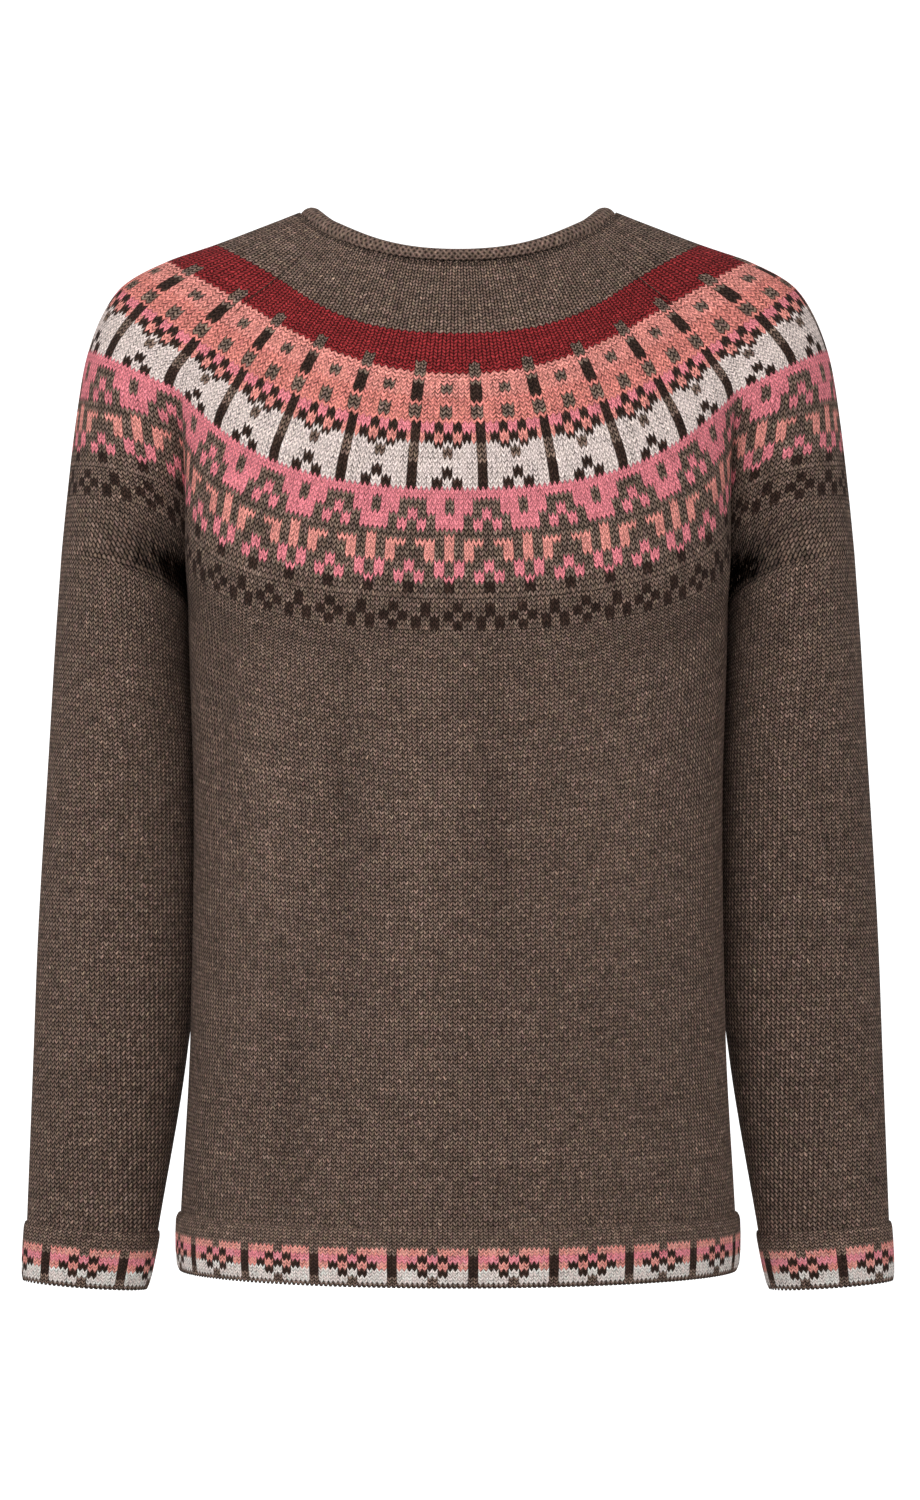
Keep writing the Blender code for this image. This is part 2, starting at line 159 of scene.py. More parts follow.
def evened(lines, columns):
    """The lines resampled at even shares of their own length, and the lengths."""
    run = np.cumsum(np.linalg.norm(np.diff(lines, axis=1), axis=2), axis=1)
    length = run[:, -1:]
    share = np.concatenate((np.zeros_like(length), run / length), axis=1)
    shift = 2.0 * np.arange(len(lines))[:, None]
    wanted = (np.linspace(0.0, 1.0, columns)[None, :] + shift).ravel()
    known = (share + shift).ravel()
    even = [np.interp(wanted, known, lines[:, :, axis].ravel()) for axis in range(3)]
    return np.stack(even, axis=1).reshape(len(lines), columns, 3), length[:, 0]


def normals_of(grid, closed=None):
    """Unit normals of a grid of points: the step down the column crossed with the step along the row.
    From the row number `closed` on, the first and last columns are one line."""
    across = np.gradient(grid, axis=1)
    if closed is not None:
        across[closed:, 0] = grid[closed:, 1] - grid[closed:, -2]
        across[closed:, -1] = across[closed:, 0]
    return unit(np.cross(np.gradient(grid, axis=0), across))


def fold_height(grid, folds):
    """Height of the soft folds: a bell across times a squared half sine along."""
    height = np.zeros(grid.shape[:2])
    for fold_x, top_z, bottom_z, width, rise in folds:
        along = np.clip((top_z - grid[:, :, 2]) / (top_z - bottom_z), 0.0, 1.0)
        height += rise * np.exp(-((grid[:, :, 0] - fold_x) / width) ** 2) * np.sin(np.pi * along) ** 2
    return height


def form_of(places, grid, length, folds=(), closed=None):
    """A cloth's form: its points by place and share of the course, with their normals, and a painted
    shade that is 1 plus the folds' painted-shade constant for each millimetre of the folds' height: painted
    shade in a fold's trough and painted light on a raised fold."""
    height = fold_height(grid, folds)[:, :, None]
    grid = grid + normals_of(grid, closed) * height
    return {"places": places, "points": grid, "normals": normals_of(grid, closed), "length": length,
            "tint": 1.0 + FOLD_PAINTED_SHADE * height}


def sample(form, name, place, share):
    """A form's points, normals or painted fold shade at any place and share: the four nearest grid points,
    weighted.
    """
    grid = form[name]
    row = np.interp(place, form["places"], np.arange(len(grid)))
    column = np.clip(share, 0.0, 1.0) * (grid.shape[1] - 1)
    r = np.clip(row.astype(int), 0, len(grid) - 2)
    c = np.clip(column.astype(int), 0, grid.shape[1] - 2)
    dr = (row - r)[..., None]
    dc = (column - c)[..., None]
    return ((grid[r, c] * (1 - dc) + grid[r, c + 1] * dc) * (1 - dr)
            + (grid[r + 1, c] * (1 - dc) + grid[r + 1, c + 1] * dc) * dr)


# The yarns, as they look by daylight: red, green and blue from 0 to 255, how uneven the yarn is, how
# light the painted shade in the hollows between its stitches is, and how many of those hollows show the dark
# yarn behind.
YARNS = {
    "A": ((141, 117, 104), 0.23, 0.05, 0.10),      # brown melange
    "K": ((66, 49, 42), 0.20, 0.30, 0.10),         # dark brown
    "R": ((164, 53, 56), 0.14, 0.12, 0.10),        # red
    "T": ((255, 164, 152), 0.10, 0.50, 0.45),      # salmon beside the red, where the red shows through
    "S": ((255, 164, 152), 0.10, 0.55, 0.30),      # salmon
    "D": ((246, 150, 138), 0.12, 0.50, 0.30),      # duller salmon
    "L": ((255, 166, 154), 0.08, 0.55, 0.05),      # leaf salmon
    "C": ((255, 148, 158), 0.08, 0.55, 0.10),      # pink of the checks
    "P": ((255, 148, 158), 0.08, 0.55, 0.05),      # pink
    "W": ((252, 233, 226), 0.05, 0.52, 0.18),      # natural white
}
LETTERS = "".join(YARNS)


def linear(colour):
    """Screen colour from 0 to 255 turned into linear light."""
    part = np.asarray(colour) / 255.0
    return np.where(part <= 0.04045, part / 12.92, ((part + 0.055) / 1.055) ** 2.4)


YARN_COLOURS = np.array([linear(colour) for colour, *others in YARNS.values()])
YARN_UNEVEN, YARN_HOLLOW_SHADE, YARN_SLITS = np.array([others for colour, *others in YARNS.values()]).T

# The yoke's charts, one letter for each stitch of a repeat, rows from the neck down. All round there
# are 27 repeats: 9 on the back, 9 on the front and 4.5 on each sleeve.
COMB_CHART = "AARRRRRR AARRRRRR AARRRRRR AATTTTTT TTTTTTTT".split()
SALMON_CHART = """
AASSSSSSSS KKSSSAASSS KKSSSAASSS KKSSSSSSSS KKDDDDDDDD DDDDDDDDDD
AADDDAADDD AADDDAADDD AADDDAADDD DDDDDDDDDD
""".split()
WHITE_CHART = """
KKCCCKKCCKKCCC KKCCCKKCCKKCCC KKSKKSSKKSSKKS KKSKKSSKKSSKKS
AAWWWKKWWKKWWW AAWWWWWAAWWWWW AAWWWWWAAWWWWW AAWWWWWWWWWWWW KKWWWWWWWWWWWW
KKWWWWWKKWWWWW KKWWWWWKKWWWWW KKWWWKKWWKKWWW KKWWWKKWWKKWWW
""".split()
LEAF_CHART = """
PPPPPPPPPPPPPPPP PPPPPPPPPPPPPPPP AAAAPPPPAAPPPPAA AAAAPPPPAAPPPPAA
PPAAPPPPAAPPPPAA PPAAAAPPPPPPAAAA AAPPAAPPPPPPAAPP AAPPAAPPPPPPAAPP
AAAAAAAAAAAAAAAA AAAAAAAALLAAAAAA AALLLLAALLAALLLL AAAALLAALLAALLAA
AAAALLAALLAALLAA AAAALLAALLAALLAA PPAAAAPPAAPPAAAA PPAAAAPPAAPPAAAA
AAPPAAPPAAPPAAPP AAPPAAAAPPAAAAPP KKAAAAAAKKAAAAAA KKAAAAAAKKAAAAAA
AAAAAAAAAAAAAAAA
""".split()
DARK_CHART = """
AAAAAAAAAAAAAA AAKKAAAAAKKAAA AAKKAAAAAKKAAA AAKKAAAKKAAKKA KKAAKKAKKAAKKA
KKAAKKAAAKKAAA KKAAKKAAAKKAAA
""".split()
LEAF_SHARE = 0.656                # how much of the way from its first row to the border the leaf band takes
LEAF_END = PLACE["leaves"] + LEAF_SHARE * (PLACE["border"] - PLACE["leaves"])

NECK_ROWS = 23
RED_ROWS = 12
SALMON_ROWS = 12
COMB_ROWS = (3, 2)                # how many of the red's last rows and the salmon's first the comb takes
COMB_TOP = PLACE["red"] - COMB_ROWS[0] * (PLACE["red"] - PLACE["plain"]) / RED_ROWS
COMB_END = PLACE["red"] + COMB_ROWS[1] * (PLACE["dots"] - PLACE["red"]) / SALMON_ROWS
CLOSE_ROWS = NECK_ROWS + RED_ROWS - COMB_ROWS[0]            # the rows whose columns stand out most
NECK_STITCHES = 56 / 9            # stitches in a repeat, from the neck to the red
DARK_STITCHES = 161 / 9           # and in the dark border

# The bands of the yoke: top and bottom place, stitches in a repeat, the stitch number at the middle of
# the back, how many repeats the pattern is set to the left of it, how far the bars' stitches are drawn
# together, and the chart.
YOKE_BANDS = (
    (0.0, PLACE["plain"], NECK_STITCHES, 3, 0.0, 0.0, ["A"] * NECK_ROWS),
    (PLACE["plain"], COMB_TOP, NECK_STITCHES, 3, 0.0, 0.0, ["R"] * (CLOSE_ROWS - NECK_ROWS)),
    (COMB_TOP, COMB_END, 8, 5, 0.19, 0.22, COMB_CHART),
    (COMB_END, PLACE["dots"], 10, 6, 0.19, 0.0, SALMON_CHART),
    (PLACE["dots"], PLACE["flowers"], 14, 8, 0.15, 0.0, WHITE_CHART),
    (PLACE["flowers"], LEAF_END, 16, 9, 0.11, 0.0, LEAF_CHART),
    (LEAF_END, PLACE["border"], DARK_STITCHES, 10, 0.0, 0.0, DARK_CHART),
)

UNEVEN_LEG = 0.85                 # how much of a yarn's unevenness changes from leg to leg,
UNEVEN_RUN = 0.45                 # and how much runs on over a few stitches
UNEVEN_ROW = 0.03                 # how uneven the shade is from row to row,
UNEVEN_HUE = 0.12                 # the hue, as a share of the yarn's own unevenness,
UNEVEN_HOLLOW_SHADE = 0.15              # and the painted shade in the hollows
SLIT_LIGHT = 0.3                  # how light a hollow is that shows the dark yarn, beside the others


def spun(yarn, dice):
    """Colour of each leg of a stitch, and how light the painted shade in its hollow is, from the yarns'
    numbers.
    The tone is exp of loose noise for each leg and slower noise that runs on over a few stitches, as a yarn
    does."""
    rows, columns = yarn.shape
    slow = dice.normal(0.0, 1.0, (rows, columns + 8))
    reach = np.exp(-np.linspace(-1.8, 1.8, 9) ** 2)
    slow = np.stack([slow[:, i:i + columns] * share for i, share in enumerate(reach)]).sum(axis=0)
    loose = dice.normal(0.0, UNEVEN_LEG, yarn.shape) + UNEVEN_RUN * slow / np.sqrt(np.sum(reach ** 2))
    shade = np.exp(loose * YARN_UNEVEN[yarn] + dice.normal(0.0, UNEVEN_ROW, (rows, 1)))
    hue = 1.0 + UNEVEN_HUE * YARN_UNEVEN[yarn][..., None] * dice.normal(0.0, 1.0, (rows, columns, 3))
    hollow_shade = YARN_HOLLOW_SHADE[yarn] * np.exp(dice.normal(0.0, UNEVEN_HOLLOW_SHADE, yarn.shape))
    hollow_shade = np.where(dice.random(yarn.shape) < YARN_SLITS[yarn], SLIT_LIGHT * hollow_shade, hollow_shade)
    return np.concatenate((YARN_COLOURS[yarn] * shade[..., None] * hue, hollow_shade[..., None]), axis=-1)


LEG_RISE = 1.0                    # how far a stitch's leg climbs over half a stitch, in rows
UNEVEN_PLACE = 0.12               # how far a stitch strays up or down
UNEVEN_WALE = 0.035               # how far it strays sideways, in stitches
WALE_DIP = (0.30, 0.12)           # depth of the furrow between two columns: near the neck, elsewhere
WALE_FADE = (PLACE["plain"], PLACE["red"] + 4.0)            # where the one goes over into the other
TUCK = (0.22, 0.02)               # how deep a band's first row lies under the band above: start and end
FASHIONED = (0.40 * PLACE["plain"], PLACE["red"] + 5.0)     # where the raglan line shows, by place
FASHION_SINK = 0.6                # how deep the line lies
FASHION_WIDTH = 1.2               # how wide it is in each piece, in stitches
HOLE_REACH = 0.55                 # how near to the edge a stitch with a hole is
HOLE_PAINTED_SHADE = (0.40, 0.40, 0.40, 0.5)     # painted shade in a stitch with a hole, and in a hole under the neck roll
RIB_PAINTED_LIGHT = 0.30                     # painted light and shade: how much lighter one leg of a stitch is painted, and the other darker, where a piece turns away
RIBBED_FROM = 0.4                 # where that starts, from 0 at the middle of a course to 1 at its ends
RIBBED_GROWTH = 3.0               # and how fast it grows from there


def stitch_grid(top, bottom, left, right, pinch, chart, dice):
    """The corners of a band's half stitches, by row: stitch number, climb, place, share of the course
    and distance from the nearer edge in stitches. A row's line hangs lowest at the middle of a stitch
    and climbs to both sides, so each pair of cells is a V."""
    height = (bottom - top) / len(chart)
    line = top + height * np.arange(-1, len(chart) + 1)
    left_at, right_at = (np.broadcast_to(edge(line) if callable(edge) else edge, line.shape)[:, None]
                         for edge in (left, right))
    column = np.arange(np.floor(2 * left_at.min()), np.ceil(2 * right_at.max()) + 1) / 2
    u = np.clip(column[None, :], left_at, right_at)
    climb = np.abs(2 * (u - np.floor(u)) - 1)
    inside = (u > left_at) & (u < right_at)
    place = np.maximum(line[:, None] - climb * LEG_RISE * height, 0.0)
    place = place + np.where(inside, dice.normal(0.0, UNEVEN_PLACE, u.shape), 0.0)
    drawn = pinch * np.sin(2 * np.pi * (u - chart[0].find("AA") - 1) / len(chart[0]))
    aside = dice.normal(0.0, UNEVEN_WALE, u.shape) - drawn
    width = right_at - left_at
    share = (u - left_at) / width + np.where(inside, aside, 0.0) / width
    return u, climb, place, share, np.minimum(u - left_at, right_at - u)


def corners_of(values):
    """The values at the four corners of each cell of a grid, down one side and up the other."""
    return np.stack((values[:-1, :-1], values[1:, :-1], values[1:, 1:], values[:-1, 1:]), axis=2)


def yarn_numbers(chart):
    """A chart's letters as numbers of yarns."""
    return np.array([[LETTERS.index(letter) for letter in row] for row in chart])


def knitted(form, bands, dice, holes=False):
    """The outer face: two quads for each stitch, sunk at the furrows, under the band above and along
    the raglan line. With holes every other row there has one, painted dark as painted shade, and so is the
    first leg of each stitch in the row under the neck roll. Towards both sides of a piece, below the yoke,
    one leg of a stitch is painted lighter and the other darker, painted light and shade, so that ribs show;
    the folds' painted shade is laid on too. Returns points, faces, stitch coordinates and colours by face
    corner."""
    parts = []
    first_point = 0
    first_row = 0
    for band in bands:
        u, climb, place, share, beside = stitch_grid(*band, dice)
        top, chart = band[0], band[-1]
        row = np.arange(-1, len(chart) + 1)[:, None]
        marked = (place > FASHIONED[0]) & (place < FASHIONED[1])
        sunk = np.interp(place, WALE_FADE, WALE_DIP) * climb + np.select((row < 0, row < 1), TUCK, 0.0)
        sunk += np.where(marked, FASHION_SINK * np.clip(1.0 - beside / FASHION_WIDTH, 0.0, 1.0), 0.0)
        grid = sample(form, "points", place, share) - sample(form, "normals", place, share) * sunk[..., None]
        stitches = corners_of(np.stack((u, np.broadcast_to(row + first_row, u.shape)), axis=-1))
        middle = stitches[..., 0].mean(axis=-1)
        first_leg = middle % 1.0 < 0.5
        column = np.floor(middle).astype(int) % len(chart[0])
        colour = spun(yarn_numbers(chart)[np.maximum(row[:-1], 0), column], dice)

        # Painted light and shade: where a piece turns away, below the yoke, one leg of each stitch is painted
        # lighter and the other darker, so that ribs show.
        turned = np.clip(RIBBED_GROWTH * (np.abs(2.0 * share - 1.0) - RIBBED_FROM), 0.0, 1.0)
        painted_rib_light = np.where(first_leg, RIB_PAINTED_LIGHT, -RIB_PAINTED_LIGHT) * (turned * (place > PLACE["border"]))[:-1, :-1]
        # Painted shade in the folds' troughs and painted light on their crests go into the colour here.
        colour[..., :3] *= sample(form, "tint", place, share)[:-1, :-1] * (1.0 + painted_rib_light[..., None])
        # Painted shade: the stitches with a hole along the raglan line, and the first legs in the row under
        # the neck roll, are painted dark in place of the shade in real holes.
        near_edge = beside[:-1, :-1] + beside[:-1, 1:] < 2 * HOLE_REACH
        hole = holes & marked[:-1, :-1] & near_edge & (row[:-1] % 2 == 0)
        under_roll = first_leg & (row[:-1] == 1) & (top == 0.0)
        colour = np.where((hole | under_roll)[..., None], colour * np.array(HOLE_PAINTED_SHADE), colour)

        index = first_point + np.arange(u.size).reshape(u.shape)
        widths = stitches[..., 3, 0] - stitches[..., 0, 0], stitches[..., 2, 0] - stitches[..., 1, 0]
        wide = np.maximum(*widths) > 1e-4
        parts.append((grid.reshape(-1, 3), corners_of(index)[wide], stitches[wide],
                      np.repeat(colour[wide][:, None, :], 4, axis=1)))
        first_point += u.size
        first_row += len(chart)
    return [np.concatenate(part) for part in zip(*parts)]


RIM_DEPTH = 0.1                   # how far the inner face stays behind the outer one along its edges
ROW_SHARE = 0.82                  # height of a row beside the width of a stitch
# How light the painted shade in the inner face's hollows is.
LINING_HOLLOW_SHADE = 0.3


def lining_side(form, places, columns, pitch):
    """The inner face, one wall thickness behind the outer, with a rim that comes up to it all round."""
    share = np.linspace(0.0, 1.0, columns)
    share = np.concatenate((share[:1], share, share[-1:]))
    places = np.concatenate((places[:1], places, places[-1:]))
    depth = np.full((len(places), len(share)), WALL)
    depth[[0, -1]] = RIM_DEPTH
    depth[:, [0, -1]] = RIM_DEPTH
    place, share = np.meshgrid(places, share, indexing="ij")
    grid = sample(form, "points", place, share) - sample(form, "normals", place, share) * depth[..., None]
    u = share * np.interp(place, form["places"], form["length"]) / pitch
    inwards = [0, 3, 2, 1]
    stitches = corners_of(np.stack((u, place / (ROW_SHARE * pitch)), axis=-1))[:, :, inwards]
    faces = corners_of(np.arange(place.size).reshape(place.shape))[:, :, inwards].reshape(-1, 4)
    brown = np.append(YARN_COLOURS[LETTERS.index("A")], LINING_HOLLOW_SHADE)
    colours = np.broadcast_to(brown, (len(faces), 4, 4))
    return [grid.reshape(-1, 3), faces, stitches.reshape(-1, 4, 2), colours]


def cloth_object(name, outer, inner, materials):
    """A mesh object from an outer and an inner part, each points, faces, stitch coordinates and
    colours. The outer part takes the first material and the inner part the second."""
    points = np.concatenate((outer[0], inner[0])) * MM
    faces = np.concatenate((outer[1], inner[1] + len(outer[0])))
    mesh = bpy.data.meshes.new(name)
    mesh.from_pydata(points, [], faces)
    stitches = mesh.uv_layers.new(name="stitches")
    stitches.uv.foreach_set("vector", np.concatenate((outer[2], inner[2])).ravel().astype(np.float32))
    colours = np.concatenate((outer[3], inner[3]))
    wool = mesh.color_attributes.new("wool", "FLOAT_COLOR", "CORNER")
    wool.data.foreach_set("color", colours.ravel().astype(np.float32))
    which = np.repeat((0, 1), (len(outer[1]), len(inner[1]))).astype(np.int32)
    mesh.polygons.foreach_set("material_index", which)
    for material in materials:
        mesh.materials.append(material)
    mesh.update()
    mesh.shade_smooth()
    thing = bpy.data.objects.new(name, mesh)
    bpy.context.scene.collection.objects.link(thing)
    return thing


def sum_of(tree, operation, *terms, clamp=False):
    """One Math node: its terms are sockets or numbers."""
    node = tree.nodes.new("ShaderNodeMath")
    node.operation = operation
    node.use_clamp = clamp
    for socket, term in zip(node.inputs, terms):
        if isinstance(term, (int, float)):
            socket.default_value = term
        else:
            tree.links.new(term, socket)
    return node.outputs[0]


STRAY = (0.24, 0.30)              # how far the strands wander, in stitches and in rows
STRAY_SCALE = 500.0
FIBRE_SCALE = 1200.0
FIBRE_LIGHT = (0.15, 1.7)         # how light the fibres are where their noise is 0, and what 1 adds
FIBRE_RELIEF = 0.25               # their height beside a stitch's


def wool_finish(name, height_of, bump):
    """Knitted wool: the colour of each stitch, painted darker in the hollows of the relief as painted shade,
    except where a hollow shows the dark yarn behind, with fine fibres over it. height_of makes the nodes that
    give the relief, 0 to 1, from the stitch coordinates."""
    material = bpy.data.materials.new(name)
    material.use_nodes = True
    tree = material.node_tree
    shader = tree.nodes["Principled BSDF"]
    shader.inputs["Roughness"].default_value = 0.92
    shader.inputs["Specular IOR Level"].default_value = 0.06
    shader.inputs["Sheen Weight"].default_value = 0.02
    shader.inputs["Sheen Roughness"].default_value = 0.5
    uv = tree.nodes.new("ShaderNodeUVMap")
    uv.uv_map = "stitches"
    parts = tree.nodes.new("ShaderNodeSeparateXYZ")
    tree.links.new(uv.outputs["UV"], parts.inputs[0])
    place = tree.nodes.new("ShaderNodeTexCoord")
    stray = tree.nodes.new("ShaderNodeTexNoise")
    stray.inputs["Scale"].default_value = STRAY_SCALE
    stray.inputs["Detail"].default_value = 1.0
    tree.links.new(place.outputs["Object"], stray.inputs["Vector"])
    strays = tree.nodes.new("ShaderNodeSeparateColor")
    tree.links.new(stray.outputs["Color"], strays.inputs[0])
    wander = [sum_of(tree, "MULTIPLY_ADD", strays.outputs[i], STRAY[i], -STRAY[i] / 2) for i in (0, 1)]
    u = sum_of(tree, "ADD", parts.outputs["X"], wander[0])
    v = sum_of(tree, "ADD", parts.outputs["Y"], wander[1])
    height = height_of(tree, u, v)
    fibres = tree.nodes.new("ShaderNodeTexNoise")
    fibres.inputs["Scale"].default_value = FIBRE_SCALE
    fibres.inputs["Detail"].default_value = 3.0
    tree.links.new(place.outputs["Object"], fibres.inputs["Vector"])
    fleck = sum_of(tree, "MULTIPLY_ADD", fibres.outputs["Fac"], FIBRE_LIGHT[1], FIBRE_LIGHT[0])
    yarn = tree.nodes.new("ShaderNodeAttribute")
    yarn.attribute_name = "wool"
    # Painted shade in the hollows: the colour falls towards the wool's alpha share where the relief is low.
    open_part = sum_of(tree, "SUBTRACT", 1.0, yarn.outputs["Alpha"])
    hollow_shade = sum_of(tree, "MULTIPLY_ADD", height, open_part, yarn.outputs["Alpha"])
    tint = tree.nodes.new("ShaderNodeVectorMath")
    tint.operation = "SCALE"
    tree.links.new(yarn.outputs["Color"], tint.inputs[0])
    tree.links.new(sum_of(tree, "MULTIPLY", hollow_shade, fleck), tint.inputs["Scale"])
    tree.links.new(tint.outputs[0], shader.inputs["Base Color"])
    relief = tree.nodes.new("ShaderNodeBump")
    relief.inputs["Distance"].default_value = bump * MM
    relief.inputs["Strength"].default_value = 1.0
    raised = sum_of(tree, "MULTIPLY_ADD", fibres.outputs["Fac"], FIBRE_RELIEF, height)
    tree.links.new(raised, relief.inputs["Height"])
    tree.links.new(relief.outputs["Normal"], shader.inputs["Normal"])
    return material


STRAND_LAG = 0.28                 # how much less than its row a strand climbs, in rows
GAP = (1.6, 0.9, 1.1)             # depth between the rows: above the foot, least, under the tips
GAP_CLOSE = 0.8                   # how much of it is there in the close rows, near the neck
SPLIT = (1.08, 0.28)              # depth of the furrows beside each leg: in the close rows, elsewhere
FURROW = (0.20, 0.50)             # what is added to them between two columns: the same two


def stitch_height(tree, u, v):
    """Relief of a V stitch. With side = |2 fract(u) - 1|, 0 at the V's foot and 1 at its tips, a leg is a
    rounded strand that climbs seven tenths of a row: its height is 1 less the squared distance from the
    strand's middle times a gap, which grows with (1 - side)^2.5 to the foot and side^2.5 to the tips.
    Furrows lie at |2 side - 1|^4, between all legs, and side^3, between columns. In the close rows, with
    their numbers up to CLOSE_ROWS and fading over two more, the furrows are deep and the gap is less."""
    part = sum_of(tree, "FRACT", u)
    side = sum_of(tree, "ABSOLUTE", sum_of(tree, "MULTIPLY_ADD", part, 2.0, -1.0))
    level = sum_of(tree, "ADD", v, STRAND_LAG / 2)
    strand = sum_of(tree, "FRACT", sum_of(tree, "MULTIPLY_ADD", side, -STRAND_LAG, level))
    away = sum_of(tree, "MULTIPLY_ADD", strand, 2.0, -1.0)
    edge_part = sum_of(tree, "MULTIPLY", away, away)
    above = sum_of(tree, "POWER", sum_of(tree, "SUBTRACT", 1.0, side), 2.5)
    under = sum_of(tree, "POWER", side, 2.5)
    gap = sum_of(tree, "MULTIPLY_ADD", under, GAP[2] - GAP[1], GAP[1])
    gap = sum_of(tree, "MULTIPLY_ADD", above, GAP[0] - GAP[1], gap)
    close = sum_of(tree, "MULTIPLY_ADD", v, -0.5, 1.0 + CLOSE_ROWS / 2, clamp=True)
    gap = sum_of(tree, "MULTIPLY", gap, sum_of(tree, "MULTIPLY_ADD", close, GAP_CLOSE - 1.0, 1.0))
    split = sum_of(tree, "MULTIPLY_ADD", close, SPLIT[0] - SPLIT[1], SPLIT[1])
    furrow = sum_of(tree, "MULTIPLY_ADD", close, FURROW[0] - FURROW[1], FURROW[1])
    ends = sum_of(tree, "ABSOLUTE", sum_of(tree, "MULTIPLY_ADD", side, 2.0, -1.0))
    sunk = sum_of(tree, "MULTIPLY", sum_of(tree, "POWER", side, 3.0), furrow)
    sunk = sum_of(tree, "MULTIPLY_ADD", sum_of(tree, "POWER", ends, 4.0), split, sunk)
    sunk = sum_of(tree, "MULTIPLY_ADD", edge_part, gap, sunk)
    return sum_of(tree, "SUBTRACT", 1.0, sunk, clamp=True)


def purl_height(tree, u, v):
    """Relief of the wrong side, a lattice of short slanting strands: 1 less the product of the squared
    sines of pi (u + v / 2) and pi (u - v / 2), which leaves a hollow in each stitch of each row, set
    half a stitch from those of the next row."""
    squares = []
    for slant in (0.5, -0.5):
        slanting = sum_of(tree, "MULTIPLY_ADD", v, slant, u)
        wave = sum_of(tree, "SINE", sum_of(tree, "MULTIPLY", slanting, np.pi))
        squares.append(sum_of(tree, "MULTIPLY", wave, wave))
    return sum_of(tree, "SUBTRACT", 1.0, sum_of(tree, "MULTIPLY", *squares), clamp=True)


right_side_wool = wool_finish("wool_right_side", stitch_height, 0.7)
wrong_side_wool = wool_finish("wool_wrong_side", purl_height, 0.9)


def yoke_bands(first_repeat, last_repeat):
    """The yoke's bands between two counts of repeats, with their first and last stitch numbers."""
    bands = []
    for top, bottom, stitches, middle, shift, pinch, chart in YOKE_BANDS:
        left, right = ((repeat - 4.5 + shift) * stitches + middle for repeat in (first_repeat, last_repeat))
        bands.append((top, bottom, left, right, pinch, chart))
    return bands


FORM_STEP = 1.2                   # distance down the yoke between the rows that a form is kept as
BODY_STEPS = 240                  # how many rows there are from the underarm to the end
FORM_COLUMNS = 201
HEM_TUCK = 2.0                    # how far the body goes on behind the hem band's top
BODY_STITCHES = 154               # across the back or the front, below the yoke
BODY_ROWS = 148
LINING_ROWS = 60                  # rows of points on the inner face, to the underarm and again from it
LINING_COLUMNS = 41
LINING_PITCH = 2.9                # width of its stitches

yoke_places = np.linspace(0.0, UNDERARM, int(UNDERARM / FORM_STEP))
body_end = PLACE["hem"] + HEM_TUCK
body_places = np.append(yoke_places, np.linspace(UNDERARM, body_end, BODY_STEPS)[1:])
body_band = (PLACE["border"], body_end, -BODY_STITCHES / 2, BODY_STITCHES / 2, 0.0, ["A"] * BODY_ROWS)


def lining_places(end):
    """The places of the inner face's rows, from the neck to the underarm and on to the end."""
    below = np.linspace(UNDERARM, end, LINING_ROWS)[1:]
    return np.append(np.linspace(0.0, UNDERARM, LINING_ROWS), below)


def panel(name, side, folds, first_repeat, seed):
    """The back or the front with its two faces, from the neck to just behind the hem band."""
    form = form_of(body_places, *evened(panel_lines(body_places, side), FORM_COLUMNS), folds)
    bands = yoke_bands(first_repeat, first_repeat + 9) + [body_band]
    outer = knitted(form, bands, np.random.default_rng(seed), holes=True)
    inner = lining_side(form, lining_places(body_end), LINING_COLUMNS, LINING_PITCH)
    return cloth_object(name, outer, inner, (right_side_wool, wrong_side_wool))


back = panel("knit_back", -1, BACK_FOLDS, 0.0, 11)
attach(back, "root")
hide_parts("back")

# ---------------------------------------------------------------------------------------------------
# Front. The same panel of stocking stitch with the same bands, cut lower at the neck; its folds are
# softer. It is linked to the back at the sides and to the sleeves along the raglan lines.

FRONT_FOLDS = (
    (-100, -290, -540, 24, 1.6),
    (-52, -300, -470, 17, -2.0),
    (38, -310, -520, 20, -1.8),
    (118, -270, -430, 18, -1.6),
)

front = panel("knit_front", 1, FRONT_FOLDS, 13.5, 12)
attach(front, "root")
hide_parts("front")

# ---------------------------------------------------------------------------------------------------
# Sleeves. Each is knitted as a panel with a raglan cap that carries the yoke's bands over the shoulder,
# and closed below the arm to a tube that narrows to the wrist by decreases along its inner line.

# The upper part: outermost point of the arm, direction of the cloth at the back seam, handle lengths.
CAP_COLUMNS = ("outer_x", "outer_y", "outer_z", "turn", "rise", "tuck", "reach")
CAP = {
    "neck":     (95, 0, 2.5, 46, 0.40, 12, 12),
    "plain":    (147, 0, -17.5, 38, 0.50, 22, 22),
    "red":      (175.5, 4, -27, 33, 0.50, 25, 26),
    "dots":     (204, 5, -44, 30, 0.50, 28, 34),
    "flowers":  (222.5, 8, -82, 8, 0.50, 30, 50),
    "leaves":   (229, 10, -117, -52, 0.35, 34, 60),
    "border":   (235.5, 14, -169, -66, 0.75, 48, 68),
    "underarm": (239, 17, -203, -80, 0.42, 68, 78),
}
